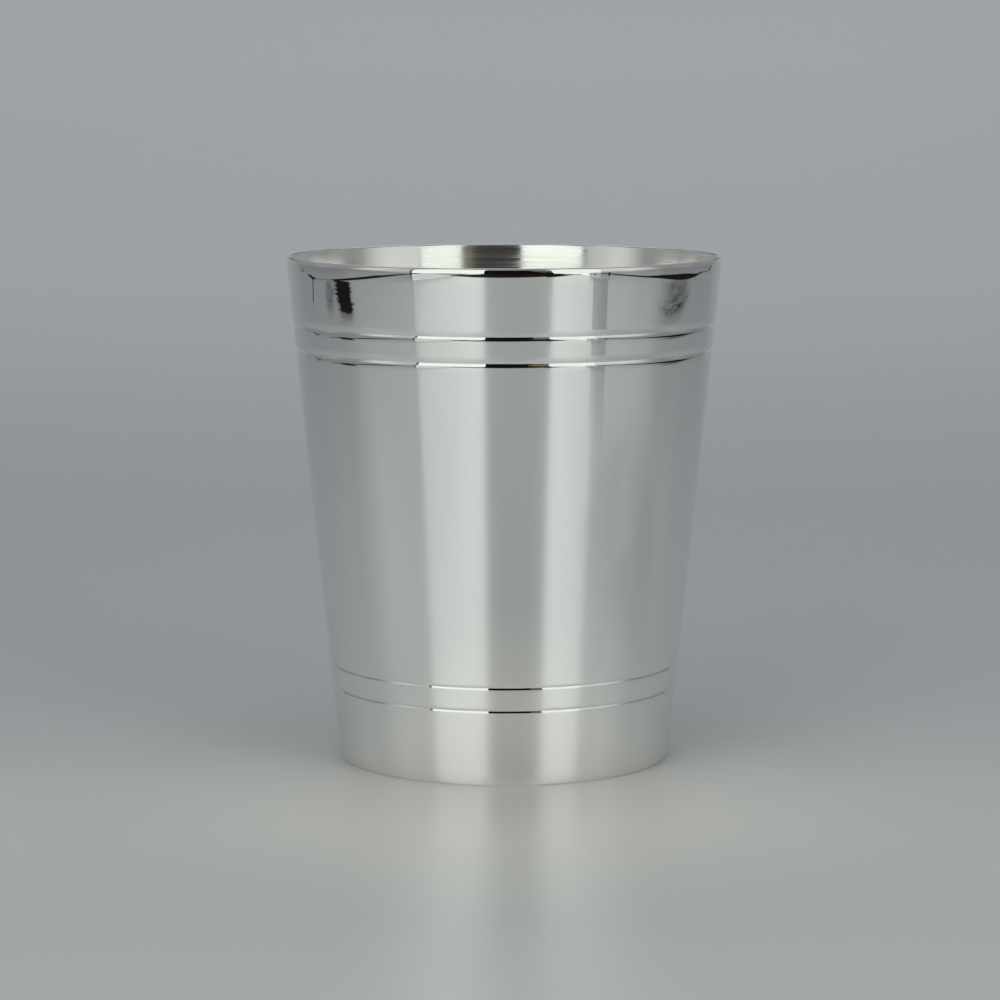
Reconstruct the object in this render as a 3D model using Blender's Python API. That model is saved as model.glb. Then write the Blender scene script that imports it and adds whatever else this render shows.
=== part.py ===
"""Silver-plated beaker: a tapered cup with a softly rounded lip and two pairs of turned grooves.

Units are metres and +Z is up. The origin is the centre of the foot, on the surface the beaker stands on.
The sleeve is spun and turned from sheet, the base is a disc let into its foot, and solder joins the two.
"""
import math

import bmesh
import bpy

# Overall form, measured on the outer face
HEIGHT = 0.0900               # foot to top of the lip
RIM_RADIUS = 0.0389           # outer face, carried up to the height of the lip
FOOT_RADIUS = 0.02975         # outer face at the foot
WALL = 0.0010                 # thickness of the sleeve, measured level

# Lip: the sleeve's own edge, rounded over from the top down the outside by three arcs that open out.
# A tilt is the slope of the face: 90 degrees faces up, 0 faces level outward.
LIP_TOP_RADIUS = 0.00044
LIP_TOP_TILT = 13.5           # degrees, where the small round hands over to the shoulder
LIP_SHOULDER_RADIUS = 0.00206
LIP_SHOULDER_TILT = -2.2      # degrees, where the shoulder hands over to the easing
LIP_EASE_RADIUS = 0.033
LIP_INNER_DROP = 0.0004       # how far down the inside the rounding reaches

# Grooves: a soft crest above, a sharp bottom, an upward facing flank, then a tight and a long arc into the wall
FLANK_TILT = 13.5
EASE_TILT = 5.0               # degrees beyond the wall's own tilt, where the tight arc hands over to the long one

# Upper pair of grooves
UPPER_GROOVE_DROP = 0.0116    # lip down to the bottom of the first groove
UPPER_GROOVE_PITCH = 0.0045   # first groove to second
UPPER_GROOVE_CREST = 0.00115  # height of the soft crest above a groove's bottom
UPPER_GROOVE_FLANK = 0.00033  # height of the straight flank below it
UPPER_GROOVE_TIGHT = 0.00058  # radius of the tight arc
UPPER_GROOVE_LONG = 0.0090    # radius of the long arc

# Lower pair, cut with a smaller tool
LOWER_GROOVE_RISE = 0.0134    # foot up to the bottom of the lowest groove
LOWER_GROOVE_PITCH = 0.0041
LOWER_GROOVE_CREST = 0.00058
LOWER_GROOVE_FLANK = 0.00028
LOWER_GROOVE_TIGHT = 0.00035
LOWER_GROOVE_LONG = 0.0030

# Foot: a thicker edge that stands on the table and carries the base
FOOT_EDGE_WIDTH = 0.0019      # outer face to the inside of the foot
FOOT_ROUNDING = 0.00025       # edges of the standing face
RECESS = 0.0015               # underside of the base above the table

# Base disc and the solder that holds it
BASE_THICKNESS = 0.0012
BASE_CHAMFER = 0.0002
SEAM_CLEARANCE = 0.0003       # between base, sleeve and solder
SOLDER_RADIUS = 0.0018        # hollow of the inner corner
SOLDER_EDGE = 0.00015         # thickness the solder feathers out to

# Fineness of the turned surfaces
TURN_STEPS = 80
CREST_STEPS = 4
EASE_STEPS = 2
LIP_TOP_STEPS = 5
ROUND_STEPS = 3
SOLDER_STEPS = 5
MERGE_DISTANCE = 1e-6
SHARP_ANGLE = 30              # degrees; flatter edges are shaded smooth


def outer_radius(height):
    """Radius of the plain cone outside, before lip and grooves."""
    return FOOT_RADIUS + (RIM_RADIUS - FOOT_RADIUS) * height / HEIGHT


def inner_radius(height):
    """Radius of the cone inside."""
    return outer_radius(height) - WALL


def quarter(centre, radii, start, steps):
    """Points on a quarter ellipse, clockwise from the start angle in degrees, both ends included."""
    points = []
    for step in range(steps + 1):
        angle = math.radians(start - 90 * step / steps)
        points.append((centre[0] + radii[0] * math.cos(angle), centre[1] + radii[1] * math.sin(angle)))
    return points


def wall_tilt():
    """Tilt of the plain cone's outer face, which looks a little down."""
    return -math.degrees(math.atan((RIM_RADIUS - FOOT_RADIUS) / HEIGHT))


def arc(start, tilt, to_tilt, radius, steps):
    """Points that follow the start along an arc, going down the outside while the face tilts over (degrees)."""
    begin = math.radians(tilt)
    points = []
    for step in range(1, steps + 1):
        now = math.radians(tilt + (to_tilt - tilt) * step / steps)
        across = radius * (math.cos(now) - math.cos(begin))
        points.append((start[0] + across, start[1] + radius * (math.sin(now) - math.sin(begin))))
    return points


def lip():
    """Section of the lip, from the inner face over the top to the outer face."""
    outside = [(0.0, HEIGHT)]
    outside += arc(outside[-1], 90, LIP_TOP_TILT, LIP_TOP_RADIUS, LIP_TOP_STEPS)
    outside += arc(outside[-1], LIP_TOP_TILT, LIP_SHOULDER_TILT, LIP_SHOULDER_RADIUS, EASE_STEPS)
    outside += arc(outside[-1], LIP_SHOULDER_TILT, wall_tilt(), LIP_EASE_RADIUS, EASE_STEPS)
    shift = outer_radius(outside[-1][1]) - outside[-1][0]
    reach = shift - inner_radius(HEIGHT - LIP_INNER_DROP)
    inside = quarter((shift, HEIGHT - LIP_INNER_DROP), (reach, LIP_INNER_DROP), 180, ROUND_STEPS)
    return inside + [(radius + shift, height) for radius, height in outside[1:]]


def groove(bottom, crest, flank, tight, long):
    """Section of one groove, from the top of its crest down to the end of its easing.

    The lower side is walked first, because where it meets the wall sets the depth that the crest rolls down to.
    """
    hand_over = wall_tilt() + EASE_TILT
    path = [(0.0, 0.0), (flank * math.tan(math.radians(FLANK_TILT)), -flank)]
    path += arc(path[-1], FLANK_TILT, hand_over, tight, EASE_STEPS)
    path += arc(path[-1], hand_over, wall_tilt(), long, EASE_STEPS)
    deepest = outer_radius(bottom + path[-1][1]) - path[-1][0]
    depth = outer_radius(bottom) - deepest
    crest_radius = (crest ** 2 + depth ** 2) / (2 * depth)
    section = []
    for step in range(CREST_STEPS):
        fallen = crest * step / CREST_STEPS
        height = bottom + crest - fallen
        section.append((outer_radius(height) - crest_radius + math.sqrt(crest_radius ** 2 - fallen ** 2), height))
    return section + [(deepest + across, bottom + down) for across, down in path]


def sleeve_section():
    """Closed section of the sleeve, clockwise: over the lip, down the outside, up the inside."""
    first = HEIGHT - UPPER_GROOVE_DROP
    upper = (UPPER_GROOVE_CREST, UPPER_GROOVE_FLANK, UPPER_GROOVE_TIGHT, UPPER_GROOVE_LONG)
    lower = (LOWER_GROOVE_CREST, LOWER_GROOVE_FLANK, LOWER_GROOVE_TIGHT, LOWER_GROOVE_LONG)
    section = lip()
    for bottom in (first, first - UPPER_GROOVE_PITCH):
        section += groove(bottom, *upper)
    for bottom in (LOWER_GROOVE_RISE + LOWER_GROOVE_PITCH, LOWER_GROOVE_RISE):
        section += groove(bottom, *lower)

    edge = FOOT_ROUNDING
    outside = outer_radius(edge)
    inside = FOOT_RADIUS - FOOT_EDGE_WIDTH
    section += quarter((outside - edge, edge), (edge, edge), 0, ROUND_STEPS)
    section += quarter((inside + edge, edge), (edge, edge), 270, ROUND_STEPS)
    seat = RECESS - SEAM_CLEARANCE
    section += [(inside, seat), (inner_radius(seat), seat)]
    return section


def base_section():
    """Section of the base disc, from the centre of its top round the edge to the centre of its underside.

    Heights start at the underside. The edge leans out with the sleeve.
    """
    def edge(height):
        return inner_radius(RECESS + height) - SEAM_CLEARANCE

    chamfer = BASE_CHAMFER
    top = BASE_THICKNESS
    return [
        (0, top),
        (edge(top) - chamfer, top),
        (edge(top - chamfer), top - chamfer),
        (edge(chamfer), chamfer),
        (edge(0) - chamfer, 0),
        (0, 0),
    ]


def solder_section(bottom):
    """Closed section of the solder in the inner corner: a hollow fillet that feathers out both ways.

    Heights start at its own underside, which lies at the given height. Its back leans out with the sleeve.
    """
    lean = (RIM_RADIUS - FOOT_RADIUS) / HEIGHT
    back = inner_radius(bottom) - SEAM_CLEARANCE
    toe = back - SOLDER_EDGE - SOLDER_RADIUS
    points = [(back, 0), (toe, 0)]
    for step in range(SOLDER_STEPS + 1):
        angle = math.radians(90 * step / SOLDER_STEPS)
        rise = SOLDER_EDGE + SOLDER_RADIUS * (1 - math.cos(angle))
        points.append((toe + SOLDER_RADIUS * math.sin(angle) + lean * rise, rise))
    top = SOLDER_EDGE + SOLDER_RADIUS
    points.append((back + lean * top, top))
    return points


def material(name, colour, roughness):
    """A metal with the colour and polish of one finish."""
    finish = bpy.data.materials.new(name)
    finish.use_nodes = True
    shader = finish.node_tree.nodes["Principled BSDF"]
    shader.inputs["Base Color"].default_value = (*colour, 1)
    shader.inputs["Metallic"].default_value = 1
    shader.inputs["Roughness"].default_value = roughness
    finish.diffuse_color = (*colour, 1)
    return finish


def turn(name, section, closed, finish, height=0.0):
    """Spins a section of (radius, height) points about the beaker's axis into a solid."""
    mesh = bpy.data.meshes.new(name)
    shape = bmesh.new()
    corners = [shape.verts.new((radius, 0, level)) for radius, level in section]
    ends = corners[1:] + corners[:1] if closed else corners[1:]
    edges = [shape.edges.new(pair) for pair in zip(corners, ends)]
    bmesh.ops.spin(
        shape, geom=corners + edges, cent=(0, 0, 0), axis=(0, 0, 1),
        angle=math.tau, steps=TURN_STEPS, use_merge=True,
    )
    bmesh.ops.remove_doubles(shape, verts=shape.verts, dist=MERGE_DISTANCE)
    bmesh.ops.recalc_face_normals(shape, faces=shape.faces)
    shape.to_mesh(mesh)
    shape.free()
    mesh.materials.append(finish)
    mesh.shade_smooth()
    mesh.set_sharp_from_angle(angle=math.radians(SHARP_ANGLE))
    piece = bpy.data.objects.new(name, mesh)
    piece.location.z = height
    bpy.context.collection.objects.link(piece)
    return piece


def build():
    for old in list(bpy.data.objects):
        bpy.data.objects.remove(old, do_unlink=True)

    plate = material("polished silver plate", (0.93, 0.92, 0.90), 0.06)
    satin = material("satin silver plate", (0.88, 0.87, 0.85), 0.30)
    solder = material("silver solder, plated over", (0.86, 0.85, 0.83), 0.25)

    solder_height = RECESS + BASE_THICKNESS + SEAM_CLEARANCE
    pieces = [
        turn("body_sleeve", sleeve_section(), True, plate),
        turn("base_disc", base_section(), False, satin, RECESS),
        turn("base_solder", solder_section(solder_height), True, solder, solder_height),
    ]
    beaker = bpy.data.objects.new("beaker", None)
    bpy.context.collection.objects.link(beaker)
    for piece in pieces:
        piece.parent = beaker

    floor = RECESS + BASE_THICKNESS
    low, high = inner_radius(floor), inner_radius(HEIGHT)
    volume = math.pi * (HEIGHT - floor) * (low ** 2 + low * high + high ** 2) / 3
    print(f"taper {math.degrees(math.atan((RIM_RADIUS - FOOT_RADIUS) / HEIGHT)):.2f} degrees a side")
    print(f"holds {volume * 1e6:.0f} ml to the brim")


build()
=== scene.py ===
# %% [markdown]
# # A silver-plated beaker in a small studio
#
# A beaker like this is spun from one sheet of brass or nickel silver, turned true on a lathe, closed with a
# base disc and plated. Everything on it runs round one axis. So this lesson draws half a section for each
# piece and turns it about that axis, which is also how the maker works.
#
# Polished silver has next to no colour of its own: the eye reads its shape from what it mirrors. Half of the
# lesson is therefore the studio round the beaker: the table, two softboxes, and the dark things between them.

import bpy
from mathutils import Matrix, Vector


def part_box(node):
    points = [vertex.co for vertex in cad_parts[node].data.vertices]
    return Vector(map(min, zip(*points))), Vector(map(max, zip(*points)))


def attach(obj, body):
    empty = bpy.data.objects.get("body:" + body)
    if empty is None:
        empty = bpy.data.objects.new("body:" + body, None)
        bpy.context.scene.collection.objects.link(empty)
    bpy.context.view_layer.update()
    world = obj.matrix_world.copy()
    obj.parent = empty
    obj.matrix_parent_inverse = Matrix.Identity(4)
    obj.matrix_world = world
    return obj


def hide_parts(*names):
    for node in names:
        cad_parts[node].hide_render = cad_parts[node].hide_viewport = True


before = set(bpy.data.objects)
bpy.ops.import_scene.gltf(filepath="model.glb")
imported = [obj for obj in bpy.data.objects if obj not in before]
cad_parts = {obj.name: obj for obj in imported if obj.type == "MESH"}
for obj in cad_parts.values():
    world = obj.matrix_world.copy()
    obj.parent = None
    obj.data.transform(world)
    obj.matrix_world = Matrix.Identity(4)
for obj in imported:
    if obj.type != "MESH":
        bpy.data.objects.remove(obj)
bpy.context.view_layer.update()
print("nodes:", sorted(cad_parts))

# %% The modules that the lesson uses
import math
import random

import bmesh
import bpy
from mathutils import Vector

MM = 0.001  # everything is in metres; sizes of the object are written in millimetres
scene = bpy.context.scene

# %% [markdown]
# ## The camera
#
# The camera comes first, because every later step is judged through it. A long lens from about 60 cm keeps
# the beaker's sides nearly straight, and its low stand looks just over the lip into the cup. The numbers come
# from solving the ellipses of lip, grooves and foot for one camera. Depth of field stays off.

# %% Place the camera
CAMERA_DISTANCE = 593.1 * MM   # from the beaker's axis, measured level
CAMERA_HEIGHT = 124.0 * MM     # above the table
CAMERA_PITCH = 7.49            # degrees below level
CAMERA_YAW = 0.070             # degrees to the left, which sets the beaker a little right of the middle
LENS = 119.67                  # mm on a sensor 36 mm wide

camera_data = bpy.data.cameras.new("studio camera")
camera_data.lens = LENS
camera_data.sensor_width = 36
camera_data.clip_start = 10 * MM
camera = bpy.data.objects.new("studio camera", camera_data)
camera.location = (0, -CAMERA_DISTANCE, CAMERA_HEIGHT)
camera.rotation_euler = (math.radians(90 - CAMERA_PITCH), 0, math.radians(CAMERA_YAW))
scene.collection.objects.link(camera)
scene.camera = camera
scene.view_settings.view_transform = "Standard"
print(f"the picture spans {math.degrees(2 * math.atan(18 / LENS)):.2f} degrees")

# %% [markdown]
# ## The form of the sleeve
#
# The wall is a plain cone. Its height comes from the frame, so the piece fits the CAD solid it stands for; rim,
# foot, grooves and lip repeat the maker's sizes. A circle arc is all that any detail needs: the lip is three
# arcs that tighten towards the top, and a groove is a broad crest, one straight flank and two arcs below it.

# %% Sizes of the cone
low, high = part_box("body_sleeve")
HEIGHT = high.z - low.z
RIM_RADIUS = 38.9 * MM         # outer face, carried up to the height of the lip
FOOT_RADIUS = 29.75 * MM       # outer face at the foot
WALL = 1.0 * MM                # thickness of the sleeve, measured level
LEAN = (RIM_RADIUS - FOOT_RADIUS) / HEIGHT
TAPER = math.atan(LEAN)
print(f"the wall leans out by {math.degrees(TAPER):.2f} degrees")
print(f"widest radius {high.x / MM:.2f} mm in the frame")


def outer_radius(height):
    """Radius of the plain cone outside."""
    return FOOT_RADIUS + LEAN * height


def inner_radius(height):
    """Radius of the cone inside."""
    return outer_radius(height) - WALL


# %% [markdown]
# ### Walking a profile
#
# A mirror shows every kink, so the section is walked like a turner's tool path: each step is an arc or a
# straight run that starts in the direction in which the last one ended. The direction is kept as the tilt of
# the surface: 0 degrees faces level outward, 90 faces up, and the plain wall faces a little down.


# %% A tool path of arcs and straight runs
def arc(start, tilt, to_tilt, radius, steps):
    """Points along an arc that turns the surface from one tilt to another (degrees), going down the outside.

    A convex arc has a positive radius and a falling tilt; a hollow one has a negative radius and a rising tilt.
    """
    points = []
    for step in range(1, steps + 1):
        now = math.radians(tilt + (to_tilt - tilt) * step / steps)
        begin = math.radians(tilt)
        across = radius * (math.cos(now) - math.cos(begin))
        down = radius * (math.sin(now) - math.sin(begin))
        points.append((start[0] + across, start[1] + down))
    return points


WALL_TILT = -math.degrees(TAPER)

# %% [markdown]
# ### The lip
#
# The lip is the sleeve's own edge. The turner rounds it with a burnisher, and the rounding fades slowly into
# the wall: that slow fade is what draws the grey band under the lip out at the sides. So the top is a small
# round, then come a shoulder and a long easing arc that ends in the straight wall.

# %% The lip's section, from its highest point down the outside
LIP_TOP_RADIUS = 0.44 * MM
LIP_TOP_TILT = 13.5            # degrees, where the small round hands over to the shoulder
LIP_SHOULDER_RADIUS = 2.06 * MM
LIP_SHOULDER_TILT = -2.2
LIP_EASE_RADIUS = 33 * MM


def lip_outside():
    """Arcs from the top of the lip, shifted level so that they end on the cone."""
    path = [(0.0, HEIGHT)]
    path += arc(path[-1], 90, LIP_TOP_TILT, LIP_TOP_RADIUS, 20)
    path += arc(path[-1], LIP_TOP_TILT, LIP_SHOULDER_TILT, LIP_SHOULDER_RADIUS, 12)
    path += arc(path[-1], LIP_SHOULDER_TILT, WALL_TILT, LIP_EASE_RADIUS, 12)
    shift = outer_radius(path[-1][1]) - path[-1][0]
    return [(radius + shift, height) for radius, height in path]


lip = lip_outside()
print(f"the lip's easing ends {(HEIGHT - lip[-1][1]) / MM:.2f} mm below the top,")
print(f"and its highest point stands {(RIM_RADIUS - lip[0][0]) / MM:.2f} mm inside the cone")

# %% [markdown]
# ### The grooves
#
# Two pairs of lines are cut with a tool whose upper side is round and whose lower side is straight. Above
# each line the wall rolls over a soft crest and darkens, because it tips down towards the table. The flank
# below faces up and mirrors the lamps. A tight arc and a long one ease it back into the wall. The long one
# shows the far edge of the table once more, as a dark hair line that is strongest out at the sides.


# %% One groove's section
def groove(bottom, crest, flank, tight, long):
    """Section of one groove from its crest down to the end of its easing, and the groove's depth.

    The flank's tilt is FLANK_TILT; the tight arc hands over to the long one EASE_TILT above the wall's tilt.
    """
    hand_over = WALL_TILT + EASE_TILT
    path = [(0.0, 0.0), (flank * math.tan(math.radians(FLANK_TILT)), -flank)]
    path += arc(path[-1], FLANK_TILT, hand_over, tight, 8)
    path += arc(path[-1], hand_over, WALL_TILT, long, 10)
    out_of_wall = outer_radius(bottom + path[-1][1]) - path[-1][0]
    depth = outer_radius(bottom) - out_of_wall
    crest_radius = (crest ** 2 + depth ** 2) / (2 * depth)
    over = []
    for step in range(CREST_STEPS):
        fallen = crest * step / CREST_STEPS
        cut = crest_radius - math.sqrt(crest_radius ** 2 - fallen ** 2)
        height = bottom + crest - fallen
        over.append((outer_radius(height) - cut, height))
    return over + [(out_of_wall + radius, bottom + height) for radius, height in path], depth


CREST_STEPS = 14
FLANK_TILT = 13.5              # degrees, facing up
EASE_TILT = 5.0                # degrees beyond the wall, where the tight arc hands over to the long one
UPPER_GROOVES = (HEIGHT - 11.6 * MM, HEIGHT - 16.1 * MM)
LOWER_GROOVES = (17.5 * MM, 13.4 * MM)
GROOVE_SIZES = (               # crest, flank, tight arc and long arc in mm, from the uppermost groove down
    (1.15, 0.28, 0.55, 12.0),
    (1.15, 0.38, 0.60, 12.0),
    (0.58, 0.28, 0.35, 3.0),
    (0.58, 0.28, 0.35, 3.0),
)
grooves = []
for bottom, sizes in zip(UPPER_GROOVES + LOWER_GROOVES, GROOVE_SIZES):
    cut, depth = groove(bottom, *[size * MM for size in sizes])
    grooves.append(cut)
    reach = bottom - cut[-1][1]
    print(f"groove at {bottom / MM:.1f} mm is {depth / MM:.3f} mm deep and ends {reach / MM:.2f} mm below")

# %% [markdown]
# ### Keeping the long wall straight
#
# Smooth shading blends the normals of neighbouring faces. Where a long face meets a short one, that blend
# would bend the reflection over the whole long face. A row of points close to each bend keeps the blend
# within a twentieth of a millimetre, so the wall between mirrors like the true cone it is.

# %% Support rows beside every bend
SUPPORT = 0.05 * MM
LONGEST = 1.5 * MM             # runs longer than this are split as well, so that no face is a splinter


def supported(path):
    """The same path with a point close to both ends of each long straight run, and evenly split between."""
    rows = [path[0]]
    for point in path[1:]:
        last = Vector(rows[-1])
        run = Vector(point) - last
        if run.length > 4 * SUPPORT:
            pieces = max(1, round(run.length / LONGEST))
            places = [SUPPORT / run.length]
            places += [step / pieces for step in range(1, pieces)]
            places += [1 - SUPPORT / run.length]
            rows += [tuple(last + run * place) for place in places]
        rows.append(point)
    return rows


# %% The whole section of the sleeve
FOOT_EDGE_WIDTH = 1.9 * MM     # outer face to the inside of the foot
FOOT_ROUNDING = 0.25 * MM      # inside edge of the foot
FOOT_EASE = 2.4 * MM           # height over which the polished wall turns in to the foot
FOOT_TURN_IN = 0.25 * MM       # how far it turns in
RECESS = 1.5 * MM              # underside of the base above the table
SEAT_GAP = 0.02 * MM           # left between two pieces that touch, so that no faces coincide
INNER_LIP_RADIUS = 0.40 * MM
FOOT_STEPS = 24
INNER_LIP_STEPS = 15


def sleeve_outside():
    """From the highest point of the lip down the outside to the foot."""
    path = list(lip)
    for cut in grooves:
        path += cut
    for step in range(FOOT_STEPS + 1):
        angle = math.radians(90 * step / FOOT_STEPS)
        height = FOOT_EASE * (1 - math.sin(angle))
        path.append((outer_radius(height) - FOOT_TURN_IN * (1 - math.cos(angle)), height))
    return path


def sleeve_inside():
    """From the inside of the foot over the seat and up the inner face to the lip."""
    inside = FOOT_RADIUS - FOOT_EDGE_WIDTH
    edge = FOOT_ROUNDING
    path = [(inside + edge, 0.0)]
    for step in range(1, 9):
        angle = math.radians(270 - 90 * step / 8)
        path.append((inside + edge + edge * math.cos(angle), edge + edge * math.sin(angle)))
    seat = RECESS - SEAT_GAP
    path += [(inside, seat), (inner_radius(seat), seat)]
    top = lip[0][0]
    turn = HEIGHT - INNER_LIP_RADIUS
    reach = top - inner_radius(turn)
    for step in range(INNER_LIP_STEPS):
        angle = math.radians(180 - 90 * step / INNER_LIP_STEPS)
        path.append((top + reach * math.cos(angle), turn + INNER_LIP_RADIUS * math.sin(angle)))
    return path


outside = supported(sleeve_outside())
inside = supported(sleeve_inside())
print("rows outside and inside:", len(outside), len(inside))

# %% [markdown]
# ## Turning a section into a piece
#
# Blender has a Spin tool and a Screw modifier for this. Here the rings are set out by hand instead, because
# then each band of faces can be given its own finish: polished outside, satin inside.


# %% Turn a section about the axis
TURN_STEPS = 384
SHARP_ANGLE = 25               # degrees; only the bottoms of the grooves and real corners are sharper


def turned(name, rows, bands, finishes):
    """A closed solid of revolution; bands gives each row's index into the finishes."""
    shape = bmesh.new()
    rings = []
    for radius, height in rows:
        ring = []
        for step in range(TURN_STEPS):
            angle = math.tau * step / TURN_STEPS
            ring.append(shape.verts.new((radius * math.cos(angle), radius * math.sin(angle), height)))
        rings.append(ring)
    for index, ring in enumerate(rings):
        below = rings[(index + 1) % len(rings)]
        for step in range(TURN_STEPS):
            ahead = (step + 1) % TURN_STEPS
            face = shape.faces.new((ring[step], below[step], below[ahead], ring[ahead]))
            face.material_index = bands[index]
            face.smooth = True
    bmesh.ops.remove_doubles(shape, verts=shape.verts, dist=1e-7)
    bmesh.ops.recalc_face_normals(shape, faces=shape.faces)
    mesh = bpy.data.meshes.new(name)
    shape.to_mesh(mesh)
    shape.free()
    for finish in finishes:
        mesh.materials.append(finish)
    mesh.set_sharp_from_angle(angle=math.radians(SHARP_ANGLE))
    piece = bpy.data.objects.new(name, mesh)
    scene.collection.objects.link(piece)
    print(f"{name}: {len(mesh.polygons)} faces")
    return piece


# %% [markdown]
# ## Helpers for finishes
#
# Colours are written as the sRGB hex values that a colour picker shows, and one function turns them into the
# linear values that the renderer works in. One other function adds a node, with its settings and its links.


# %% Colour and node helpers
def linear(hex_colour):
    """Linear red, green, blue and alpha of a colour such as 'F2F0EA'."""
    channels = []
    for start in (0, 2, 4):
        value = int(hex_colour[start:start + 2], 16) / 255
        channels.append(value / 12.92 if value <= 0.04045 else ((value + 0.055) / 1.055) ** 2.4)
    return (*channels, 1.0)


def add(tree, kind, inputs=None, **settings):
    """Adds one node. An input is a plain value, or the socket of another node to link from."""
    node = tree.nodes.new(kind)
    for name, value in settings.items():
        setattr(node, name, value)
    for name, value in (inputs or {}).items():
        if isinstance(value, bpy.types.NodeSocket):
            tree.links.new(value, node.inputs[name])
        else:
            node.inputs[name].default_value = value
    return node


def new_finish(name):
    """An empty material and its node tree."""
    finish = bpy.data.materials.new(name)
    finish.use_nodes = True
    finish.node_tree.nodes.clear()
    return finish, finish.node_tree


# %% [markdown]
# ## Polished silver plate
#
# Silver reflects about 95 percent of the light, a little less in blue, which makes it the whitest of metals.
# The plate was buffed on a wheel while the beaker turned. That leaves level ripples half a millimetre apart,
# which can hardly be seen: the straight wall stretches what it mirrors upwards many times, so the finish has
# to be a clean mirror for the mirrored shapes to keep their edges. Fine scratches from handling run in all
# directions and make the gloss a little uneven.

# %% The polished finish
def polished_silver_plate():
    finish, tree = new_finish("polished silver plate, buffed while turning")
    place = add(tree, "ShaderNodeTexCoord")

    ripple_height = 1 / (0.5 * MM)
    ripple_length = 1 / (12 * MM)
    stretched = add(tree, "ShaderNodeMapping", {
        "Vector": place.outputs["Object"],
        "Scale": (ripple_length, ripple_length, ripple_height),
    })
    ripples = add(tree, "ShaderNodeTexNoise", {
        "Vector": stretched.outputs["Vector"], "Scale": 1.0, "Detail": 2.0, "Roughness": 0.45,
    })
    wavy = add(tree, "ShaderNodeBump", {
        "Strength": 1.0, "Distance": 0.0003 * MM, "Height": ripples.outputs["Fac"],
    })

    hairs = add(tree, "ShaderNodeTexNoise", {
        "Vector": place.outputs["Object"], "Scale": 1 / (1.2 * MM), "Detail": 6.0, "Roughness": 0.7,
    })
    haze = add(tree, "ShaderNodeMapRange", {
        "Value": hairs.outputs["Fac"], "From Min": 0.35, "From Max": 0.75, "To Min": 0.010, "To Max": 0.026,
    })

    cloud = add(tree, "ShaderNodeTexNoise", {
        "Vector": place.outputs["Object"], "Scale": 1 / (30 * MM), "Detail": 3.0,
    })
    tone = add(tree, "ShaderNodeMix", {
        "Factor": cloud.outputs["Fac"], "A": linear("F3F3F3"), "B": linear("F0F0EF"),
    }, data_type="RGBA")

    shader = add(tree, "ShaderNodeBsdfPrincipled", {
        "Base Color": tone.outputs["Result"], "Metallic": 1.0,
        "Roughness": haze.outputs["Result"], "Normal": wavy.outputs["Normal"],
    })
    add(tree, "ShaderNodeOutputMaterial", {"Surface": shader.outputs["BSDF"]})
    return finish


polished = polished_silver_plate()
print("finish:", polished.name)

# %% [markdown]
# ## Satin silver plate
#
# The inside can't reach the wheel, so it keeps the grain of the abrasive cloth that was held against it while
# it turned. The grain runs level, so a reflection stays crisp from side to side and smears up and down. That
# is anisotropic gloss. The tangent runs round the axis, and the quarter turn of the anisotropy puts the smear
# across the grain.

# %% The satin finish
def satin_silver_plate():
    finish, tree = new_finish("satin silver plate, brushed while turning")
    place = add(tree, "ShaderNodeTexCoord")
    grain_height = 1 / (0.25 * MM)
    grain_length = 1 / (25 * MM)
    stretched = add(tree, "ShaderNodeMapping", {
        "Vector": place.outputs["Object"],
        "Scale": (grain_length, grain_length, grain_height),
    })
    grain = add(tree, "ShaderNodeTexNoise", {
        "Vector": stretched.outputs["Vector"], "Scale": 1.0, "Detail": 4.0, "Roughness": 0.65,
    })
    uneven = add(tree, "ShaderNodeMapRange", {
        "Value": grain.outputs["Fac"], "From Min": 0.35, "From Max": 0.65, "To Min": 0.08, "To Max": 0.21,
    })
    lines = add(tree, "ShaderNodeBump", {
        "Strength": 1.0, "Distance": 0.004 * MM, "Height": grain.outputs["Fac"],
    })
    tone = add(tree, "ShaderNodeMix", {
        "Factor": grain.outputs["Fac"], "A": linear("FEFEFA"), "B": linear("FBFBF6"),
    }, data_type="RGBA")
    round_axis = add(tree, "ShaderNodeTangent", direction_type="RADIAL", axis="Z")
    shader = add(tree, "ShaderNodeBsdfPrincipled", {
        "Base Color": tone.outputs["Result"], "Metallic": 0.93,
        "Roughness": uneven.outputs["Result"], "Anisotropic": 0.4, "Anisotropic Rotation": 0.25,
        "Tangent": round_axis.outputs["Tangent"], "Normal": lines.outputs["Normal"],
    })
    add(tree, "ShaderNodeOutputMaterial", {"Surface": shader.outputs["BSDF"]})
    return finish


satin = satin_silver_plate()
print("finish:", satin.name)

# %% Turn the sleeve
rows = outside + inside
POLISHED_LIP_ROWS = 12         # the buffing wheel also reaches this far over the lip
bands = [0] * len(outside) + [1] * (len(inside) - POLISHED_LIP_ROWS) + [0] * POLISHED_LIP_ROWS
sleeve = turned("turned_sleeve", rows, bands, [polished, satin])
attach(sleeve, "root")
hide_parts("body_sleeve")

# %% [markdown]
# ## The base disc
#
# The floor of the cup is a disc that was faced on the lathe, so its grain runs in circles.

# %% The base disc
BASE_THICKNESS = 1.2 * MM
BASE_CHAMFER = 0.2 * MM


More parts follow.
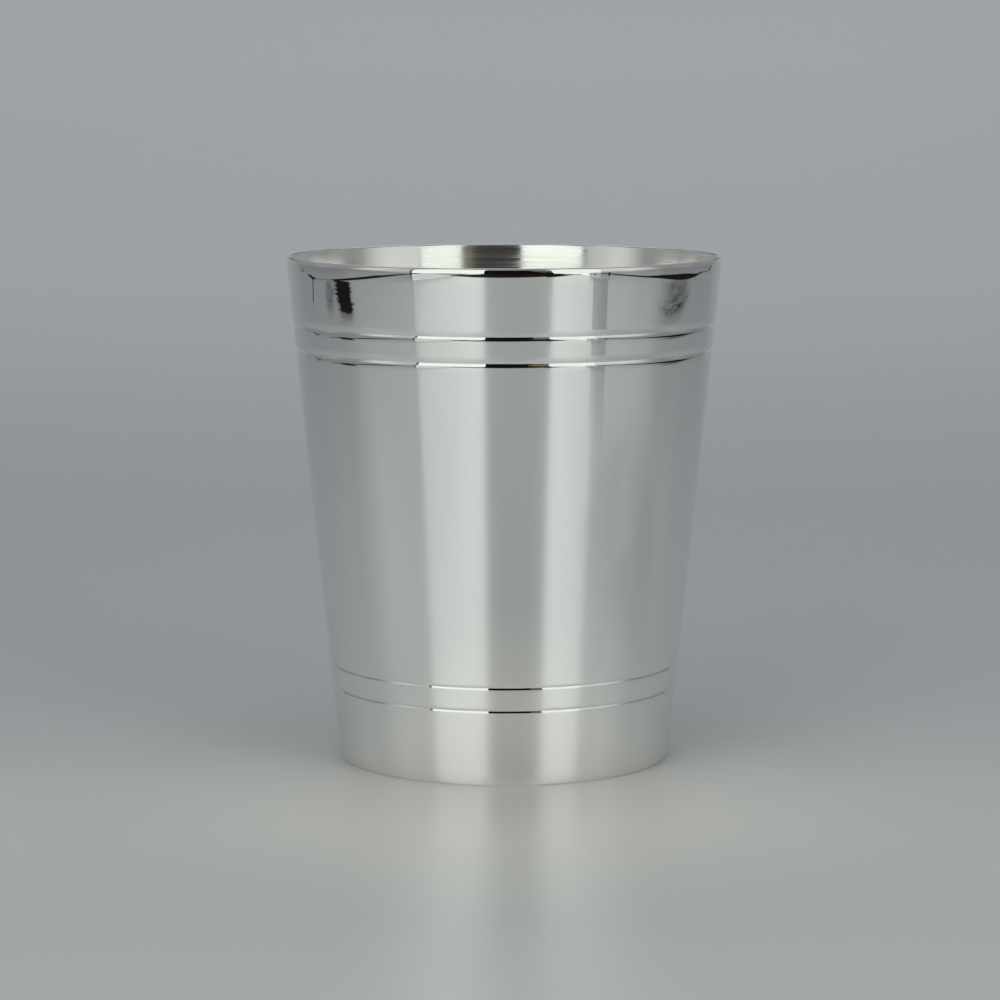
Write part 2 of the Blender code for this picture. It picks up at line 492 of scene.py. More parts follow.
def faced_silver_plate():
    finish, tree = new_finish("faced silver plate, turned in circles")
    place = add(tree, "ShaderNodeTexCoord")
    flat = add(tree, "ShaderNodeVectorMath", {0: place.outputs["Object"], 1: (1, 1, 0)}, operation="MULTIPLY")
    radius = add(tree, "ShaderNodeVectorMath", {0: flat.outputs["Vector"]}, operation="LENGTH")
    across = add(tree, "ShaderNodeMath", {0: radius.outputs["Value"], 1: 1 / (0.4 * MM)}, operation="MULTIPLY")
    along = add(tree, "ShaderNodeVectorMath", {
        0: flat.outputs["Vector"], "Scale": 1 / (25 * MM),
    }, operation="SCALE")
    split = add(tree, "ShaderNodeSeparateXYZ", {"Vector": along.outputs["Vector"]})
    circles = add(tree, "ShaderNodeCombineXYZ", {
        "X": split.outputs["X"], "Y": split.outputs["Y"], "Z": across.outputs["Value"],
    })
    grain = add(tree, "ShaderNodeTexNoise", {
        "Vector": circles.outputs["Vector"], "Scale": 1.0, "Detail": 4.0, "Roughness": 0.65,
    })
    uneven = add(tree, "ShaderNodeMapRange", {
        "Value": grain.outputs["Fac"], "From Min": 0.3, "From Max": 0.7, "To Min": 0.22, "To Max": 0.34,
    })
    lines = add(tree, "ShaderNodeBump", {
        "Strength": 1.0, "Distance": 0.004 * MM, "Height": grain.outputs["Fac"],
    })
    tone = add(tree, "ShaderNodeMix", {
        "Factor": grain.outputs["Fac"], "A": linear("F6F5F0"), "B": linear("F1F0EA"),
    }, data_type="RGBA")
    round_axis = add(tree, "ShaderNodeTangent", direction_type="RADIAL", axis="Z")
    shader = add(tree, "ShaderNodeBsdfPrincipled", {
        "Base Color": tone.outputs["Result"], "Metallic": 1.0,
        "Roughness": uneven.outputs["Result"], "Anisotropic": 0.8, "Anisotropic Rotation": 0.25,
        "Tangent": round_axis.outputs["Tangent"], "Normal": lines.outputs["Normal"],
    })
    add(tree, "ShaderNodeOutputMaterial", {"Surface": shader.outputs["BSDF"]})
    return finish


def base_section():
    """From the centre of the top round the edge to the centre of the underside."""
    top = RECESS + BASE_THICKNESS
    chamfer = BASE_CHAMFER

    def edge(height):
        return inner_radius(height) - SEAT_GAP

    return [
        (0, top),
        (edge(top) - chamfer, top),
        (edge(top - chamfer), top - chamfer),
        (edge(RECESS + chamfer), RECESS + chamfer),
        (edge(RECESS) - chamfer, RECESS),
        (0, RECESS),
    ]


faced = faced_silver_plate()
base_rows = supported(base_section())
base = turned("base_disc_faced", base_rows, [0] * len(base_rows), [faced])
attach(base, "root")
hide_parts("base_disc")

# %% [markdown]
# ## The solder in the corner
#
# Silver solder runs into the corner and leaves a hollow fillet, which was wiped with the same cloth.

# %% The solder fillet
SOLDER_RADIUS = 1.8 * MM
SOLDER_EDGE = 0.15 * MM


def solder_section():
    bottom = RECESS + BASE_THICKNESS + SEAT_GAP
    back = inner_radius(bottom) - SEAT_GAP
    toe = back - SOLDER_EDGE - SOLDER_RADIUS
    rows = [(back, bottom), (toe, bottom)]
    for step in range(17):
        angle = math.radians(90 * step / 16)
        rise = SOLDER_EDGE + SOLDER_RADIUS * (1 - math.cos(angle))
        rows.append((toe + SOLDER_RADIUS * math.sin(angle) + LEAN * rise, bottom + rise))
    top = SOLDER_EDGE + SOLDER_RADIUS
    rows.append((back + LEAN * top, bottom + top))
    return rows


solder_rows = solder_section()
solder = turned("solder_fillet", solder_rows, [0] * len(solder_rows), [satin])
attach(solder, "root")
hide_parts("base_solder")

# %% [markdown]
# ## The table and the sweep
#
# The beaker stands on a smooth light grey board that turns up into a backdrop without a seam. Its faint gloss
# matters: the lower wall mirrors nothing but the table, and the pale columns on it are the softboxes seen
# first in the table and then in the silver. The board is not one grey, and its tones are painted light and
# shade: it darkens towards the back as painted light falloff, has a painted pool of light just before the foot
# where the silver throws light back on the table, and a band of painted shade half way up the backdrop. These
# tones were tuned to the picture.

# %% The sweep's finish
PAINTED_LIGHT_POOL = "BAB9B3"          # painted light, a paler pool round a point before the foot
PAINTED_LIGHT_POOL_MIDDLE = (0, -47 * MM, 0)
PAINTED_LIGHT_POOL_FADE = (15 * MM, 77 * MM)
PAINTED_SHADE_BAND = "7F8386"                # painted shade on the backdrop, from its lower edge up
PAINTED_SHADE_BAND_FOOT = (0.18, 0.32)       # heights between which it sets in
PAINTED_SHADE_BAND_TOP = (0.44, 0.54)        # heights between which it weakens
PAINTED_SHADE_BAND_ABOVE = 0.65              # share of it that is left higher up
SWEEP_GREYS_AND_PAINTED_FALLOFF = (                # distance behind the beaker's axis in metres, and the colour there, with painted light falloff
    (-0.55, "9FA2A1"),
    (-0.12, "9FA2A1"),
    (-0.07, "A5A9A7"),
    (-0.03, "A2A6A4"),
    (0.00, "9B9F9F"),
    (0.06, "979B9D"),
    (0.15, "94999C"),
    (0.35, "92979A"),
    (0.64, "999EA1"),
    (1.20, "ACB1B3"),
    (1.45, "ADB2B5"),
)


def sweep_finish():
    finish, tree = new_finish("light grey laminate, satin, with painted light and shade")
    place = add(tree, "ShaderNodeTexCoord")
    split = add(tree, "ShaderNodeSeparateXYZ", {"Vector": place.outputs["Object"]})
    # Painted light falloff: the board's grey changes with distance behind the beaker.
    depth = add(tree, "ShaderNodeMapRange", {
        "Value": split.outputs["Y"], "From Min": SWEEP_GREYS_AND_PAINTED_FALLOFF[0][0], "From Max": SWEEP_GREYS_AND_PAINTED_FALLOFF[-1][0],
    })
    ramp = add(tree, "ShaderNodeValToRGB", {"Fac": depth.outputs["Result"]})
    stops = ramp.color_ramp.elements
    reach = SWEEP_GREYS_AND_PAINTED_FALLOFF[-1][0] - SWEEP_GREYS_AND_PAINTED_FALLOFF[0][0]
    for index, (y, colour) in enumerate(SWEEP_GREYS_AND_PAINTED_FALLOFF):
        position = (y - SWEEP_GREYS_AND_PAINTED_FALLOFF[0][0]) / reach
        stop = stops[index] if index < 2 else stops.new(position)
        stop.position = position
        stop.color = linear(colour)
    # Painted light: a paler pool on the board just before the foot.
    away = add(tree, "ShaderNodeVectorMath", {
        0: place.outputs["Object"], 1: PAINTED_LIGHT_POOL_MIDDLE,
    }, operation="DISTANCE")
    fade = add(tree, "ShaderNodeMapRange", {
        "Value": away.outputs["Value"], "From Min": PAINTED_LIGHT_POOL_FADE[0], "From Max": PAINTED_LIGHT_POOL_FADE[1],
    }, interpolation_type="SMOOTHSTEP")
    lit = add(tree, "ShaderNodeMix", {
        "Factor": fade.outputs["Result"], "A": linear(PAINTED_LIGHT_POOL), "B": ramp.outputs["Color"],
    }, data_type="RGBA")
    # Painted shade: a darker band half way up the backdrop.
    height = add(tree, "ShaderNodeMapRange", {
        "Value": split.outputs["Z"], "From Min": PAINTED_SHADE_BAND_FOOT[0], "From Max": PAINTED_SHADE_BAND_FOOT[1],
    }, interpolation_type="SMOOTHSTEP")
    top = add(tree, "ShaderNodeMapRange", {
        "Value": split.outputs["Z"], "From Min": PAINTED_SHADE_BAND_TOP[0], "From Max": PAINTED_SHADE_BAND_TOP[1],
        "To Min": 1.0, "To Max": PAINTED_SHADE_BAND_ABOVE,
    }, interpolation_type="SMOOTHSTEP")
    band = add(tree, "ShaderNodeMath", {
        0: height.outputs["Result"], 1: top.outputs["Result"],
    }, operation="MULTIPLY")
    shaded = add(tree, "ShaderNodeMix", {
        "Factor": band.outputs["Value"], "A": lit.outputs["Result"], "B": linear(PAINTED_SHADE_BAND),
    }, data_type="RGBA")
    speckle = add(tree, "ShaderNodeTexNoise", {
        "Vector": place.outputs["Object"], "Scale": 1 / (0.8 * MM), "Detail": 2.0,
    })
    gloss = add(tree, "ShaderNodeMapRange", {
        "Value": speckle.outputs["Fac"], "To Min": 0.31, "To Max": 0.35,
    })
    shader = add(tree, "ShaderNodeBsdfPrincipled", {
        "Base Color": shaded.outputs["Result"], "Roughness": gloss.outputs["Result"], "IOR": 1.7,
    })
    add(tree, "ShaderNodeOutputMaterial", {"Surface": shader.outputs["BSDF"]})
    return finish


# %% The sweep's shape
SWEEP_FLAT = 1.15              # radius of the flat table, in metres
SWEEP_TURN = 0.30              # radius of the turn up
SWEEP_WALL = 0.70              # height of the straight wall above it


def sweep():
    """A shallow bowl: flat in the middle, then a quarter round up into a low wall."""
    rows = [(0.0, 0.0), (0.1, 0.0), (0.3, 0.0), (SWEEP_FLAT, 0.0)]
    for step in range(1, 17):
        angle = math.radians(90 * step / 16)
        rows.append((SWEEP_FLAT + SWEEP_TURN * math.sin(angle), SWEEP_TURN * (1 - math.cos(angle))))
    rows.append((SWEEP_FLAT + SWEEP_TURN, SWEEP_TURN + SWEEP_WALL))
    shape = bmesh.new()
    corners = [shape.verts.new((radius, 0, height)) for radius, height in rows]
    edges = [shape.edges.new(pair) for pair in zip(corners, corners[1:])]
    bmesh.ops.spin(
        shape, geom=corners + edges, cent=(0, 0, 0), axis=(0, 0, 1), angle=math.tau, steps=96, use_merge=True,
    )
    bmesh.ops.remove_doubles(shape, verts=shape.verts, dist=1e-6)
    bmesh.ops.recalc_face_normals(shape, faces=shape.faces)
    mesh = bpy.data.meshes.new("sweep")
    shape.to_mesh(mesh)
    shape.free()
    mesh.materials.append(sweep_finish())
    mesh.shade_smooth()
    bowl = bpy.data.objects.new("sweep", mesh)
    scene.collection.objects.link(bowl)
    return bowl


board = sweep()

# %% [markdown]
# ## Lamps
#
# Azimuths are counted from the camera's side, negative to the left. A softbox's radiance is what a perfect
# mirror would show, so 1.0 is white; the power of an area lamp is that radiance times pi times its area.


# %% Softboxes
def towards(azimuth, distance, height):
    """A point in the studio, by azimuth in degrees from the camera's side, distance and height."""
    angle = math.radians(azimuth)
    return Vector((distance * math.sin(angle), -distance * math.cos(angle), height))


def lamp(name, place, aim, width, length, radiance, colour="FFFFFF", seen_in_silver=True):
    data = bpy.data.lights.new(name, "AREA")
    data.shape = "RECTANGLE"
    data.size = width
    data.size_y = length
    data.energy = radiance * math.pi * width * length
    data.color = linear(colour)[:3]
    box = bpy.data.objects.new(name, data)
    box.location = place
    box.rotation_euler = (Vector(aim) - Vector(place)).to_track_quat("-Z", "Y").to_euler()
    box.visible_camera = False
    box.visible_glossy = seen_in_silver
    scene.collection.objects.link(box)
    return box


def standing_softbox(name, azimuths, distances, heights, radiance, colour="FFFFFF", behind=0.0):
    """An upright softbox between two posts, each given by its azimuth and its distance."""
    centre = sum(heights) / 2
    posts = [towards(azimuth, distance, centre) for azimuth, distance in zip(azimuths, distances)]
    span = posts[1] - posts[0]
    middle = (posts[0] + posts[1]) / 2
    facing = Vector((-span.y, span.x, 0))
    if facing.dot(middle) > 0:
        facing = -facing
    middle -= facing.normalized() * behind
    return lamp(name, middle, middle + facing, span.length, heights[1] - heights[0], radiance, colour)


SOFTBOX_TOP = 1.1
SOFTBOXES = {                  # azimuths, distances, heights, radiance
    "left softbox": ((-46.6, -10), (0.47, 0.92), (0.0, SOFTBOX_TOP), 1.02),
    "right softbox": ((24.5, 49.5), (0.92, 0.55), (0.0, SOFTBOX_TOP), 0.97),
}
for name, (azimuths, distances, heights, radiance) in SOFTBOXES.items():
    standing_softbox(name, azimuths, distances, heights, radiance, "FAFFF8")

# %% [markdown]
# Real softboxes are brighter than white: straight in the silver they burn out, and the table, which mirrors
# little, still shows them as pale columns. Here the silver sees them at about white, so that nothing burns out,
# and two more lamps behind each light the table alone. Blender calls that light linking. This is a trick of the
# picture and not how a studio works. The lamps stand 3 mm apart, because lamps in one plane lose light.

# %% Lamps for the table alone
table_only = bpy.data.collections.new("table only")
table_only.objects.link(board)
TABLE_LAMPS = (                # part of the softbox, distance behind it, lower end, radiance
    ("whole", 3 * MM, 0.0, 0.40),
    ("upper", 6 * MM, 0.18, 1.28),
)
for name, (azimuths, distances, heights, radiance) in SOFTBOXES.items():
    for part, behind, low_end, extra in TABLE_LAMPS:
        title = f"{name}, {part}, for the table"
        heights = (low_end, SOFTBOX_TOP)
        twin = standing_softbox(title, azimuths, distances, heights, extra, "FAFFFD", behind)
        twin.light_linking.receiver_collection = table_only

# %% Plain fill lamps
lamp("overhead fill", (0, -0.15, 1.3), (0, 0, 0), 0.9, 0.9, 2.0, seen_in_silver=False)
lamp("backdrop light", (0, 0.9, 1.3), (0, 1.35, 0), 1.6, 0.6, 3.1, seen_in_silver=False)
lamp("back light", (0, 0.75, 0.95), (0, 0, 0.05), 0.8, 0.5, 0.7)

# %% [markdown]
# The world stands for the walls of the room: one plain grey, as bright as it is written.

# %% World
world = bpy.data.worlds.new("studio walls")
scene.world = world
world.use_nodes = True
walls = world.node_tree.nodes["Background"]
walls.inputs["Color"].default_value = linear("868A8C")
walls.inputs["Strength"].default_value = 1.0
print("world:", world.name)

# %% [markdown]
# ## What the silver mirrors
#
# Silver between two softboxes would look like plain white metal. What draws its form are the dark things in
# between: the gaps under and beside the softboxes, their stands, a cabinet. Each is a plain card here, laid
# where its image falls on the wall. The cards in the gaps are painted shade, black felt where there is only
# shaded space, and two soft dark cards on the table are painted shadows. The camera doesn't see the cards and
# they throw no shadow. A lit cloth glows at the level that it would have in the softbox's light.


# %% Finishes of cards and cloths
def matt_finish(name, tones, patch_size):
    finish, tree = new_finish(name)
    place = add(tree, "ShaderNodeTexCoord")
    nap = add(tree, "ShaderNodeTexNoise", {"Vector": place.outputs["Object"], "Scale": 1 / patch_size})
    tone = add(tree, "ShaderNodeMix", {
        "Factor": nap.outputs["Fac"], "A": linear(tones[0]), "B": linear(tones[1]),
    }, data_type="RGBA")
    shader = add(tree, "ShaderNodeBsdfPrincipled", {
        "Base Color": tone.outputs["Result"], "Roughness": 0.9, "Specular IOR Level": 0.1,
    })
    add(tree, "ShaderNodeOutputMaterial", {"Surface": shader.outputs["BSDF"]})
    return finish


DARK_PATCH_AND_PAINTED_SHADOW = "14100F"                 # dark brown, for dark patches and for painted shadows on the table


def see_through_finish(name, cover, patch_size, fade):
    """Painted shadow that the table shows through: its least and most cover, and the radii between which it
    sets in.
    """
    finish, tree = new_finish(name)
    place = add(tree, "ShaderNodeTexCoord")
    stretched = add(tree, "ShaderNodeMapping", {
        "Vector": place.outputs["Object"], "Scale": (4 / patch_size, 1 / patch_size, 1.0),
    })
    cloud = add(tree, "ShaderNodeTexNoise", {
        "Vector": stretched.outputs["Vector"], "Scale": 1.0, "Detail": 2.0, "Distortion": 1.5,
    })
    share = add(tree, "ShaderNodeMapRange", {
        "Value": cloud.outputs["Fac"], "From Min": 0.40, "From Max": 0.60,
        "To Min": cover[0], "To Max": cover[1],
    })
    radius = add(tree, "ShaderNodeVectorMath", {0: place.outputs["Object"]}, operation="LENGTH")
    setting_in = add(tree, "ShaderNodeMapRange", {
        "Value": radius.outputs["Value"], "From Min": fade[0], "From Max": fade[1],
    }, interpolation_type="SMOOTHSTEP")
    amount = add(tree, "ShaderNodeMath", {
        0: share.outputs["Result"], 1: setting_in.outputs["Result"],
    }, operation="MULTIPLY")
    dark = add(tree, "ShaderNodeBsdfDiffuse", {"Color": linear(DARK_PATCH_AND_PAINTED_SHADOW)})
    clear = add(tree, "ShaderNodeBsdfTransparent")
    both = add(tree, "ShaderNodeMixShader", {
        0: amount.outputs["Value"], 1: clear.outputs["BSDF"], 2: dark.outputs["BSDF"],
    })
    add(tree, "ShaderNodeOutputMaterial", {"Surface": both.outputs["Shader"]})
    return finish


# Black felt: the softbox backs and stands, and painted shade where a card stands for a shaded gap.
felt_and_painted_shade = matt_finish("black felt", ("0C0908", "1A1412"), 4 * MM)
cabinet = matt_finish("brown cabinet, oiled wood", ("86775A", "6E6146"), 40 * MM)
shade = see_through_finish("soft shadow of a stand", (0.21, 0.24), 60 * MM, (0.19, 0.36))


def smudge_finish(name, cover, folds, reach):
    """A dark patch that thins out towards its edge; the faint one on the right is painted shadow.

    Given are its least and most cover, the size of its folds across and along, and its half width and length.
    """
    finish, tree = new_finish(name)
    place = add(tree, "ShaderNodeTexCoord")
    stretched = add(tree, "ShaderNodeMapping", {
        "Vector": place.outputs["Object"], "Scale": (1 / folds[0], 1 / folds[1], 1.0),
    })
    cloud = add(tree, "ShaderNodeTexNoise", {
        "Vector": stretched.outputs["Vector"], "Scale": 1.0, "Detail": 2.0, "Distortion": 1.0,
    })
    share = add(tree, "ShaderNodeMapRange", {
        "Value": cloud.outputs["Fac"], "From Min": 0.40, "From Max": 0.60,
        "To Min": cover[0], "To Max": cover[1],
    })
    spread = add(tree, "ShaderNodeMapping", {
        "Vector": place.outputs["Object"], "Scale": (1 / reach[0], 1 / reach[1], 0.0),
    })
    out = add(tree, "ShaderNodeVectorMath", {0: spread.outputs["Vector"]}, operation="LENGTH")
    thinning = add(tree, "ShaderNodeMapRange", {
        "Value": out.outputs["Value"], "From Min": 0.30, "From Max": 1.0, "To Min": 1.0, "To Max": 0.0,
    }, interpolation_type="SMOOTHSTEP")
    amount = add(tree, "ShaderNodeMath", {
        0: share.outputs["Result"], 1: thinning.outputs["Result"],
    }, operation="MULTIPLY")
    dark = add(tree, "ShaderNodeBsdfDiffuse", {"Color": linear(DARK_PATCH_AND_PAINTED_SHADOW)})
    clear = add(tree, "ShaderNodeBsdfTransparent")
    both = add(tree, "ShaderNodeMixShader", {
        0: amount.outputs["Value"], 1: clear.outputs["BSDF"], 2: dark.outputs["BSDF"],
    })
    add(tree, "ShaderNodeOutputMaterial", {"Surface": both.outputs["Shader"]})
    return finish


def lit_cloth_finish(name, level):
    finish, tree = new_finish(name)
    place = add(tree, "ShaderNodeTexCoord")
    folds = add(tree, "ShaderNodeTexNoise", {"Vector": place.outputs["Object"], "Scale": 1 / (40 * MM)})
    dim, bright = 0.97 * level, 1.03 * level
    tone = add(tree, "ShaderNodeMix", {
        "Factor": folds.outputs["Fac"], "A": (dim, 1.02 * dim, dim, 1), "B": (bright, 1.02 * bright, bright, 1),
    }, data_type="RGBA")
    glow = add(tree, "ShaderNodeEmission", {"Color": tone.outputs["Result"]})
    add(tree, "ShaderNodeOutputMaterial", {"Surface": glow.outputs["Emission"]})
    return finish


cotton = lit_cloth_finish("white cotton, lit from behind", 0.62)
grey_cotton = lit_cloth_finish("grey cotton, lit from behind", 0.40)


# %% Cards, upright and level
def card(name, corners, finish=felt_and_painted_shade):
    mesh = bpy.data.meshes.new(name)
    mesh.from_pydata([tuple(corner) for corner in corners], [], [tuple(range(len(corners)))])
    mesh.materials.append(finish)
    piece = bpy.data.objects.new(name, mesh)
    piece.visible_camera = False
    piece.visible_shadow = False
    scene.collection.objects.link(piece)
    return piece


def upright_card(name, azimuths, distance, heights, finish=felt_and_painted_shade):
    left, right = azimuths
    return card(name, [
        towards(left, distance, heights[0]), towards(right, distance, heights[0]),
        towards(right, distance, heights[1]), towards(left, distance, heights[1]),
    ], finish)


def flat_card(name, x_range, y_range, height=1.0 * MM):
    return card(name, [
        (x_range[0], y_range[0], height), (x_range[1], y_range[0], height),
        (x_range[1], y_range[1], height), (x_range[0], y_range[1], height),
    ])


card("camera side", [
    towards(azimuth, 0.80, height) for azimuth, height in (
        (-10, 0.0), (25, 0.0), (25, 0.10), (12, 0.50), (-10, 0.55),
    )
])
flat_card("camera side floor", (-0.14, 0.34), (-0.78, -0.525))
upright_card("stand foot, left", (-48.0, -47.0), 0.56, (0.008, 0.04))
upright_card("stand foot, right", (54.0, 55.0), 0.56, (0.004, 0.030))
upright_card("clamp under the right softbox", (46.2, 46.7), 0.545, (0.008, 0.024))
upright_card("cabinet", (9, 21), 0.79, (0.10, 0.37), cabinet)
BACK_BEHIND = 12 * MM          # the felt back of a softbox stands this far behind its front
for name, (azimuths, distances, heights, radiance) in SOFTBOXES.items():
    ends = [towards(azimuth, distance + BACK_BEHIND, 0) for azimuth, distance in zip(azimuths, distances)]
    card(name + " back", [
        (ends[0].x, ends[0].y, 0.001), (ends[1].x, ends[1].y, 0.001),
        (ends[1].x, ends[1].y, heights[1]), (ends[0].x, ends[0].y, heights[1]),
    ])


# %% Cards of any outline
def flat_shape(name, outline, finish=felt_and_painted_shade, height=1.5 * MM):
    """A level card from its outline, in millimetres to the right of and behind the beaker's axis."""
    return card(name, [(x * MM, y * MM, height) for x, y in outline], finish)


def combed(edge, fringe, pitch, dice):
    """The edge with fringes: at every step along it, the edge jumps out along the fringe and comes back."""
    points = []
    for start, end in zip(edge, edge[1:]):
        begin, run = Vector(start), Vector(end) - Vector(start)
        steps = max(1, round(run.length / pitch))
        for step in range(steps):
            points.append(tuple(begin + run * step / steps))
            reach = dice.uniform(0.3, 1.3)
            points.append(tuple(begin + run * (step + 0.5) / steps + Vector(fringe) * reach))
    return points + [edge[-1]]


def fringed_shape(name, left_edge, left_fringe, right_edge, right_fringe, pitch, seed, finish, height=1.5 * MM):
    """A level card with two fringed edges, each given from its far end to its near end."""
    dice = random.Random(seed)
    outline = combed(right_edge, right_fringe, pitch, dice) + combed(left_edge, left_fringe, pitch, dice)[::-1]
    return flat_shape(name, outline, finish, height)


def along_softbox(name, softbox, outline, finish, in_front):
    """A card just in front of a softbox; the outline is in shares of its width and in millimetres of height."""
    azimuths, distances, heights, radiance = SOFTBOXES[softbox]
    posts = [towards(azimuth, distance, 0) for azimuth, distance in zip(azimuths, distances)]
    forward = -(posts[0] + posts[1]).normalized() * in_front
    corners = []
    for share, height in outline:
        corners.append(posts[0].lerp(posts[1], share) + forward + Vector((0, 0, height * MM)))
    return card(name, corners, finish)


# %% [markdown]
# The outlines below were found by following the camera's rays over the silver to the table, through the spots
# where the picture shows something dark. They are in millimetres, to the right of and behind the beaker's axis.

# %% Gaps and aprons of the softboxes
# Painted shade: the gap under the softbox is black felt where the silver would mirror only shaded space.
along_softbox("gap under the left softbox", "left softbox", (
    (0.00, 34.5), (0.03, 34.0), (0.08, 29.0), (0.17, 25.8), (0.40, 17.3), (0.58, 7.0), (0.70, 2.0), (0.70, 0.5),
    (0.50, 0.5), (0.40, 4.9), (0.17, 23.3), (0.08, 26.0), (0.03, 27.0), (0.00, 29.5),
), felt_and_painted_shade, 6 * MM)
along_softbox("apron of the left softbox", "left softbox", (
    (0.00, 28.5), (0.03, 28.5), (0.17, 24.5), (0.40, 8.0), (0.50, 1.0), (0.00, 1.0),
), cotton, 4 * MM)
along_softbox("apron of the right softbox", "right softbox", (
    (0.84, 1.0), (1.00, 1.0), (1.00, 40.0), (0.90, 36.0), (0.84, 30.0),
), grey_cotton, 4 * MM)
# %% Dark gaps on the table
# Painted shade: black felt laid on the table where the silver would mirror the shaded space beyond its edges.
flat_shape("gap in front, left", (
    (-300, -552), (-262, -556), (-225, -595), (-165, -638), (-139, -665), (-130, -665),
    (-130, -525), (-300, -535),
), height=1.0 * MM)
flat_shape("gap in front, right", (
    (200, -600), (262, -578), (300, -562), (367, -545), (392, -510), (402, -494), (394, -480), (367, -514),
    (300, -504), (256, -498), (200, -500),
), height=1.0 * MM)
flat_shape("left gap", (
    (-470, -480), (-485, -358), (-483, -208), (-476, -100), (-474, 0), (-477, 70), (-500, 85), (-506, 240),
    (-497, 255), (-497, 275), (-508, 285), (-543, 345), (-566, 385), (-574, 385), (-572, 340), (-530, 275),
    (-530, 255), (-510, 240), (-505, 85), (-515, 0), (-528, -100), (-542, -210), (-512, -375), (-495, -480),
), height=1.0 * MM)
flat_shape("far end of the left gap", ((-598, 500), (-622, 555), (-648, 555), (-618, 500)), height=1.0 * MM)
flat_shape("right gap", (
    (520, -500), (520, -20), (496, 90), (500, 150), (520, 225), (545, 290), (574, 345), (606, 430), (603, 523),
    (592, 600), (604, 606), (614, 523), (624, 430), (606, 340), (618, 290), (640, 200), (610, 0), (560, -120),
    (545, -500),
), height=1.0 * MM)
# %% The dark thing on the left
fringed_shape(
    "thing on the left",
    ((-481, 52), (-465, 46), (-439, 41), (-431, 34), (-413, 22), (-405, 4)), (-7, 25),
    ((-451, -22), (-433, -24), (-416, -26), (-402, -31), (-395, -30), (-398, -15), (-402, -2)), (8, -20),
    6, 3, felt_and_painted_shade,
)


# %% Soft dark patches
def smudge(name, middle, turn, cover, folds, reach):
    """A soft-edged level dark patch; middle, folds and reach are in millimetres, turn in degrees."""
    folds = [size * MM for size in folds]
    reach = [size * MM for size in reach]
    piece = card(name, [
        (-reach[0], -reach[1], 0), (reach[0], -reach[1], 0), (reach[0], reach[1], 0), (-reach[0], reach[1], 0),
    ], smudge_finish("net, " + name, cover, folds, reach))
    piece.location = (middle[0] * MM, middle[1] * MM, 2.0 * MM)
    piece.rotation_euler.z = math.radians(turn)
    return piece


smudge("beside the thing on the left", (-455, 101), 10, (0.22, 0.46), (8, 30), (38, 52))
smudge("on the right", (436, 92), -16, (0.22, 0.92), (3, 30), (20, 150))
smudge("on the right, far side", (466, 100), -16, (0.25, 0.52), (6, 50), (28, 140))
# Painted shadow: a faint dark patch on the table to the right.
smudge("painted shadow, faint, on the right", (165, -60), 0, (0.09, 0.13), (60, 60), (120, 95))
flat_card("left strip", (-0.50, -0.450), (0.259, 0.266))
card("shadow of the right stand", [
    towards(azimuth, distance, 1 * MM) for azimuth, distance in (
        (45.5, 0.19), (45.5, 0.50), (53.5, 0.50), (54.5, 0.19),
    )
], shade)

# %% [markdown]
# ## Reflectors
#
# A white sheet stands at each side of the table. The light on it is uneven, bright next to the softbox and dim
# behind the beaker, and it fades towards the table. That draws the soft tones near the beaker's outline.


# %% Reflectors at the sides
def reflector_finish(name, distance, levels):
    """A white sheet that glows as the softboxes light it: by azimuth, and fading to its foot."""
    finish, tree = new_finish(name)
    start = -distance * math.cos(math.radians(levels[0][0]))
    end = -distance * math.cos(math.radians(levels[-1][0]))
    place = add(tree, "ShaderNodeTexCoord")
    split = add(tree, "ShaderNodeSeparateXYZ", {"Vector": place.outputs["Object"]})
    along = add(tree, "ShaderNodeMapRange", {
        "Value": split.outputs["Y"], "From Min": start, "From Max": end,
    })
    ramps = []
    for column in (1, 2):
        ramp = add(tree, "ShaderNodeValToRGB", {"Fac": along.outputs["Result"]})
        stops = ramp.color_ramp.elements
        for index, row in enumerate(levels):
            position = (-distance * math.cos(math.radians(row[0])) - start) / (end - start)
            level = row[column]
            stop = stops[index] if index < 2 else stops.new(position)
            stop.position = position
            stop.color = (0.985 * level, 1.01 * level, level, 1)
        ramps.append(ramp)
    rise = add(tree, "ShaderNodeMapRange", {
        "Value": split.outputs["Z"], "From Min": 0.0, "From Max": 0.21,
    })
    light = add(tree, "ShaderNodeMix", {
        "Factor": rise.outputs["Result"], "A": ramps[1].outputs["Color"], "B": ramps[0].outputs["Color"],
    }, data_type="RGBA")
    glow = add(tree, "ShaderNodeEmission", {"Color": light.outputs["Result"]})
    add(tree, "ShaderNodeOutputMaterial", {"Surface": glow.outputs["Emission"]})
    return finish


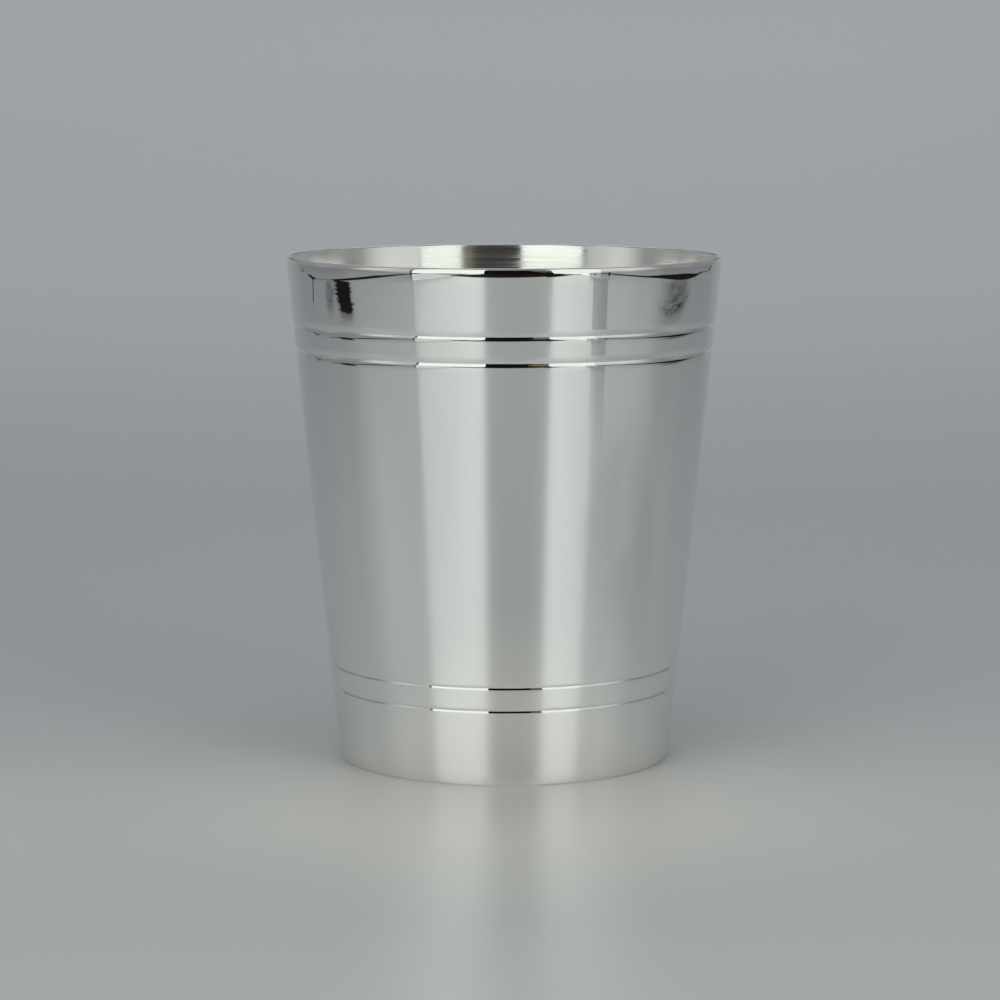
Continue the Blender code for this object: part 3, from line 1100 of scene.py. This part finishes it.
def reflector(name, side, distance, levels, ends):
    """A curved white sheet round the table, on the left for side -1 and on the right for 1.

    Its far end leans: ends gives the azimuth at which it stops, height by height.
    """
    steps = REFLECTOR_STEPS
    first = levels[0][0]
    corners = []
    for height, last in ends:
        for step in range(steps + 1):
            corners.append(towards(side * (first + (last - first) * step / steps), distance, height))
    faces = []
    for row in range(len(ends) - 1):
        for step in range(steps):
            corner = row * (steps + 1) + step
            faces.append((corner, corner + 1, corner + steps + 2, corner + steps + 1))
    mesh = bpy.data.meshes.new(name)
    mesh.from_pydata([tuple(corner) for corner in corners], [], faces)
    mesh.materials.append(reflector_finish("white sheet, " + name, distance, levels))
    sheet = bpy.data.objects.new(name, mesh)
    sheet.visible_camera = False
    sheet.visible_shadow = False
    scene.collection.objects.link(sheet)
    return sheet


REFLECTOR_STEPS = 30
REFLECTOR_DISTANCE = 0.86      # metres from the beaker's axis
LEFT_LEVELS = (                # azimuth, level above, level at the foot
    (49, 0.48, 0.44), (57, 0.50, 0.36), (66, 0.64, 0.22), (74, 0.62, 0.20), (87, 0.27, 0.20),
    (97, 0.24, 0.20), (106, 0.32, 0.20), (120, 0.25, 0.20), (140, 0.28, 0.20),
)
RIGHT_LEVELS = (
    (50, 0.70, 0.26), (57, 0.66, 0.28), (67, 0.68, 0.42), (75, 0.62, 0.25), (82, 0.48, 0.20),
    (88, 0.29, 0.20), (97, 0.24, 0.20), (108, 0.30, 0.20), (120, 0.23, 0.20), (145, 0.27, 0.20),
)
LEFT_END = ((0.002, 131.5), (0.013, 134.5), (0.05, 136.5), (0.134, 138.5), (0.3, 140), (1.0, 140))
RIGHT_END = ((0.002, 135), (0.008, 137), (0.015, 138), (0.036, 140), (0.098, 143.5), (0.2, 145), (1.0, 145))
reflector("left reflector", -1, REFLECTOR_DISTANCE, LEFT_LEVELS, LEFT_END)
reflector("right reflector", 1, REFLECTOR_DISTANCE, RIGHT_LEVELS, RIGHT_END)
card("end of the right reflector", [
    towards(azimuth, REFLECTOR_DISTANCE + 5 * MM, height) for azimuth, height in (
        (134.6, 0.001), (136.6, 0.008), (137.5, 0.015), (139.6, 0.036), (143.3, 0.095),
        (144.0, 0.098), (141.2, 0.036), (139.0, 0.015), (138.2, 0.008), (136.6, 0.001),
    )
])
